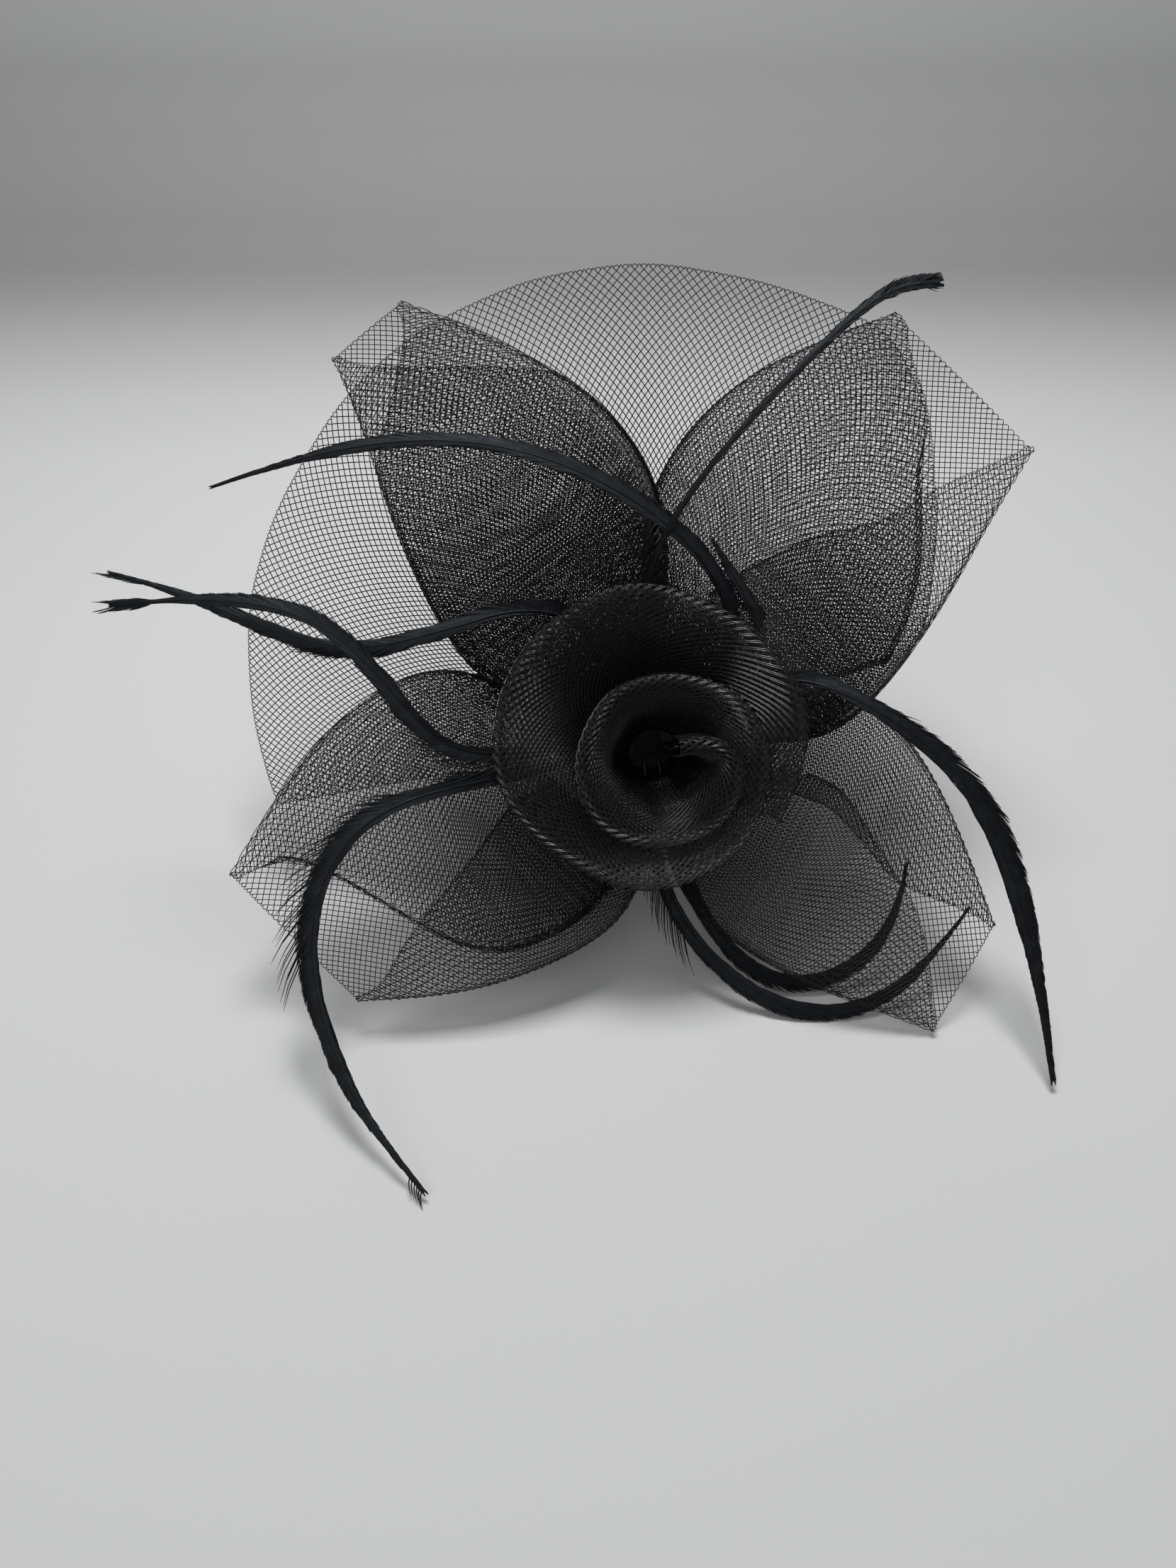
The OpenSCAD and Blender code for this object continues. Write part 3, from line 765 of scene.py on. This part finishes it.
def make_stitch(name, y, material):
    """Strands of thread side by side over the clip's plate, sunk into the felt at both ends."""
    reach = CLIP_W / 2 + 0.55
    drop = -STRIP_T - 0.3
    corner = [(reach, 1.2), (reach, 0.2), (reach - 0.1, drop + 0.35), (reach - 0.45, drop)]
    half = corner + [(2.0, drop - 0.05)]
    outline = half + [(-x, z) for x, z in reversed(half)]
    lines = []
    for k in range(4):
        wave = 0.06 * math.sin(2.3 * k)
        lines += [(x, y + 0.36 * (k - 1.5) + wave * (x > 0), z) for x, z in outline]
    points = np.array(lines, float)
    first = np.arange(len(points)) % len(outline) == 0
    mesh = tube_mesh(name, points, np.tile([0.0, 1.0, 0.1], (len(points), 1)), first, 0.22, sides=8)
    place(f"{name}_thread", mesh, material, [name])


# ---------------------------------------------------------------- materials

def new_material(name, base, roughness, **inputs):
    """A material with one Principled shader. inputs are more of its sockets by name."""
    material = bpy.data.materials.new(name)
    material.use_nodes = True
    shader = material.node_tree.nodes["Principled BSDF"]
    shader.inputs["Base Color"].default_value = (*base, 1)
    shader.inputs["Roughness"].default_value = roughness
    for key, value in inputs.items():
        shader.inputs[key.replace("_", " ")].default_value = value
    return material, material.node_tree, shader


def add_noise(tree, scale, detail=4.0, stretch=(1, 1, 1)):
    """Noise in the object's own coordinates. scale is per metre."""
    place_in = tree.nodes.new("ShaderNodeTexCoord")
    mapping = tree.nodes.new("ShaderNodeMapping")
    mapping.inputs["Scale"].default_value = stretch
    noise = tree.nodes.new("ShaderNodeTexNoise")
    noise.inputs["Scale"].default_value = scale
    noise.inputs["Detail"].default_value = detail
    tree.links.new(place_in.outputs["Object"], mapping.inputs["Vector"])
    tree.links.new(mapping.outputs["Vector"], noise.inputs["Vector"])
    return noise.outputs["Fac"]


def add_ramp(tree, factor, stops):
    """Colour ramp on factor through (place, colour) stops."""
    ramp = tree.nodes.new("ShaderNodeValToRGB")
    elements = ramp.color_ramp.elements
    while len(elements) < len(stops):
        elements.new(0.5)
    for element, (place_on, colour) in zip(elements, stops):
        element.position = place_on
        element.color = (*colour, 1)
    tree.links.new(factor, ramp.inputs["Fac"])
    return ramp.outputs["Color"]


def add_range(tree, factor, low, high):
    """factor, from 0.3 to 0.7, spread over low to high."""
    spread = tree.nodes.new("ShaderNodeMapRange")
    spread.inputs["From Min"].default_value = 0.3
    spread.inputs["From Max"].default_value = 0.7
    spread.inputs["To Min"].default_value = low
    spread.inputs["To Max"].default_value = high
    tree.links.new(factor, spread.inputs["Value"])
    return spread.outputs["Result"]


def add_bump(tree, shader, height, strength, distance):
    bump = tree.nodes.new("ShaderNodeBump")
    bump.inputs["Strength"].default_value = strength
    bump.inputs["Distance"].default_value = distance
    tree.links.new(height, bump.inputs["Height"])
    tree.links.new(bump.outputs["Normal"], shader.inputs["Normal"])


def nylon(name, dark, light, roughness, specular=0.5):
    """Glossy filament: its colour and gloss vary from thread to thread."""
    material, tree, shader = new_material(name, dark, roughness, Specular_IOR_Level=specular)
    colour = add_ramp(tree, add_noise(tree, 420), [(0.35, dark), (0.65, light)])
    tree.links.new(colour, shader.inputs["Base Color"])
    gloss = add_range(tree, add_noise(tree, 900, 2), roughness * 0.7, roughness * 1.4)
    tree.links.new(gloss, shader.inputs["Roughness"])
    return material


def feather_material():
    material, tree, shader = new_material(
        "feather_black", (0.003, 0.003, 0.004), 0.38, Specular_IOR_Level=0.35)
    shader.inputs["Specular Tint"].default_value = (0.82, 0.91, 1, 1)
    stops = [(0.3, (0.002, 0.002, 0.0026)), (0.55, (0.005, 0.0056, 0.007)), (0.75, (0.012, 0.014, 0.018))]
    tree.links.new(add_ramp(tree, add_noise(tree, 260, 6), stops), shader.inputs["Base Color"])
    tree.links.new(add_range(tree, add_noise(tree, 1200), 0.3, 0.6), shader.inputs["Roughness"])
    add_bump(tree, shader, add_noise(tree, 5000, 2), 0.3, 0.00005)
    return material


def felt_material():
    material, tree, shader = new_material(
        "felt_black", (0.006, 0.006, 0.0065), 0.95,
        Specular_IOR_Level=0.15, Sheen_Weight=0.03, Sheen_Roughness=0.7)
    stops = [(0.3, (0.004, 0.004, 0.0045)), (0.7, (0.014, 0.014, 0.015))]
    tree.links.new(add_ramp(tree, add_noise(tree, 900, 8), stops), shader.inputs["Base Color"])
    add_bump(tree, shader, add_noise(tree, 1800, 8), 0.8, 0.0004)
    return material


def thread_material():
    material, tree, shader = new_material("thread_black", (0.01, 0.01, 0.012), 0.5, Sheen_Weight=0.2)
    wave = tree.nodes.new("ShaderNodeTexWave")
    wave.bands_direction = "DIAGONAL"
    wave.inputs["Scale"].default_value = 1400
    wave.inputs["Distortion"].default_value = 1.0
    place_in = tree.nodes.new("ShaderNodeTexCoord")
    tree.links.new(place_in.outputs["Object"], wave.inputs["Vector"])
    stops = [(0.2, (0.006, 0.006, 0.007)), (0.8, (0.03, 0.03, 0.034))]
    tree.links.new(add_ramp(tree, wave.outputs["Fac"], stops), shader.inputs["Base Color"])
    add_bump(tree, shader, wave.outputs["Fac"], 0.7, 0.0001)
    return material


def steel_material(name, base, roughness, grain, scratches):
    """Plated steel: brushed along grain, with faint scratches and duller handled patches."""
    material, tree, shader = new_material(name, base, roughness, Metallic=1.0)
    shade = [(0.3, tuple(0.78 * c for c in base)), (0.7, base)]
    tree.links.new(add_ramp(tree, add_noise(tree, 160, 6), shade), shader.inputs["Base Color"])
    brushed = add_noise(tree, 2600, 3, grain)
    tree.links.new(add_range(tree, brushed, 0.7 * roughness, 1.5 * roughness), shader.inputs["Roughness"])
    add_bump(tree, shader, brushed, scratches, 0.00003)
    return material


# ---------------------------------------------------------------- stage

def make_stage(floor_z):
    """A pale table that bends up into a wall. Painted shade greys it along the way back and up, in metres:
    darkest on the table short of the bend, lighter again up the wall.
    """
    bend_y, bend_r = 0.8, 0.1
    shade_ramp_from, shade_ramp_to = 0.347, 1.05
    turn = np.radians(np.linspace(0, 90, 10))
    profile = [(-2.0, floor_z), (bend_y, floor_z)]
    profile += [(bend_y + bend_r * math.sin(a), floor_z + bend_r * (1 - math.cos(a))) for a in turn[1:]]
    profile += [(bend_y + bend_r, 2.2)]
    verts = [(x, y, z) for y, z in profile for x in (-3.0, 3.0)]
    faces = [(2 * i, 2 * i + 1, 2 * i + 3, 2 * i + 2) for i in range(len(profile) - 1)]
    mesh = bpy.data.meshes.new("stage")
    mesh.from_pydata(verts, [], faces)
    mesh.shade_smooth()
    material, tree, shader = new_material("stage_paper", (0.72, 0.72, 0.71), 0.9)
    place_in = tree.nodes.new("ShaderNodeTexCoord")
    split = tree.nodes.new("ShaderNodeSeparateXYZ")
    total = tree.nodes.new("ShaderNodeMath")
    climb = tree.nodes.new("ShaderNodeMapRange")
    climb.inputs["From Min"].default_value = shade_ramp_from + floor_z
    climb.inputs["From Max"].default_value = shade_ramp_to + floor_z
    tree.links.new(place_in.outputs["Object"], split.inputs["Vector"])
    tree.links.new(split.outputs["Y"], total.inputs[0])
    tree.links.new(split.outputs["Z"], total.inputs[1])
    tree.links.new(total.outputs["Value"], climb.inputs["Value"])
    # Painted shade: these greys dim the table towards the back and brighten again up the wall, in place of
    # the light's own falloff.
    painted_shade_greys = [
        (0.0, 0.74), (0.122, 0.69), (0.273, 0.55), (0.391, 0.43), (0.478, 0.39), (0.573, 0.42),
        (0.741, 0.455), (0.839, 0.5), (0.966, 0.62), (1.0, 0.63)]
    stops = [(at, (grey, 1.005 * grey, grey)) for at, grey in painted_shade_greys]
    tree.links.new(add_ramp(tree, climb.outputs["Result"], stops), shader.inputs["Base Color"])
    mesh.materials.append(material)
    stage = bpy.data.objects.new("stage", mesh)
    bpy.context.scene.collection.objects.link(stage)


def add_area(name, place_at, look_at, size, power):
    light = bpy.data.lights.new(name, "AREA")
    light.shape = "RECTANGLE"
    light.size, light.size_y = size
    light.energy = power
    lamp = bpy.data.objects.new(name, light)
    lamp.location = place_at
    gaze = np.array(look_at, float) - np.array(place_at, float)
    lamp.rotation_euler = (
        math.atan2(math.hypot(gaze[0], gaze[1]), -gaze[2]), 0, math.atan2(gaze[1], gaze[0]) - math.pi / 2)
    bpy.context.scene.collection.objects.link(lamp)


def make_lights():
    add_area("key", (-0.05, 0.2, 1.1), (0, 0, 0), (0.4, 0.4), 9.4)
    add_area("front", (-0.5, -1.2, 1.3), (0, 0.1, 0), (1.2, 1.0), 4.0)
    world = bpy.data.worlds.new("room")
    world.use_nodes = True
    sky = world.node_tree.nodes["Background"]
    sky.inputs["Color"].default_value = (0.93, 0.96, 1.0, 1)
    sky.inputs["Strength"].default_value = 0.14
    bpy.context.scene.world = world
    bpy.context.scene.view_settings.view_transform = "Standard"


def make_camera():
    camera = bpy.data.cameras.new("camera")
    camera.lens = 28.25
    camera.sensor_width = 36
    camera.clip_start = 0.01
    eye = bpy.data.objects.new("camera", camera)
    eye.location = (-0.02176, -0.36041, 0.30088)
    eye.rotation_euler = (math.radians(48), 0, 0)
    bpy.context.scene.collection.objects.link(eye)
    bpy.context.scene.camera = eye


# ---------------------------------------------------------------- the whole

make_camera()
make_lights()
make_stage(cad_box[0][2] - 0.0005)

crin = nylon("crin_black", (0.003, 0.0025, 0.0025), (0.014, 0.0085, 0.008), 0.3, 0.35)
rosette_crin = nylon("rosette_crin_black", (0.003, 0.0025, 0.0025), (0.009, 0.0052, 0.005), 0.26, 0.8)
feather = feather_material()
felt = felt_material()
thread = thread_material()

for name, shape in PETALS.items():
    make_petal(name, shape, crin)
make_fan(crin)
make_rosette(rosette_crin)
for seed, (name, shape) in enumerate(FEATHERS.items()):
    make_feather(name, shape, feather, seed + 1)
make_base(felt)
make_stitch("stitch_front", 10, thread)
make_stitch("stitch_back", -8, thread)

metals = {
    "clip_plate": steel_material("clip_steel", (0.62, 0.62, 0.64), 0.28, (1, 0.06, 0.06), 0.4),
    "clip_lever": steel_material("lever_steel", (0.6, 0.6, 0.62), 0.3, (1, 0.06, 0.06), 0.4),
    "clip_pin": steel_material("pin_steel", (0.7, 0.7, 0.72), 0.12, (0.1, 1, 1), 0.2),
    "clip_spring": steel_material("spring_steel", (0.5, 0.5, 0.53), 0.22, (1, 1, 1), 0.3),
}
for node, metal in metals.items():
    for material_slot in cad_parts[node].material_slots:
        material_slot.material = metal
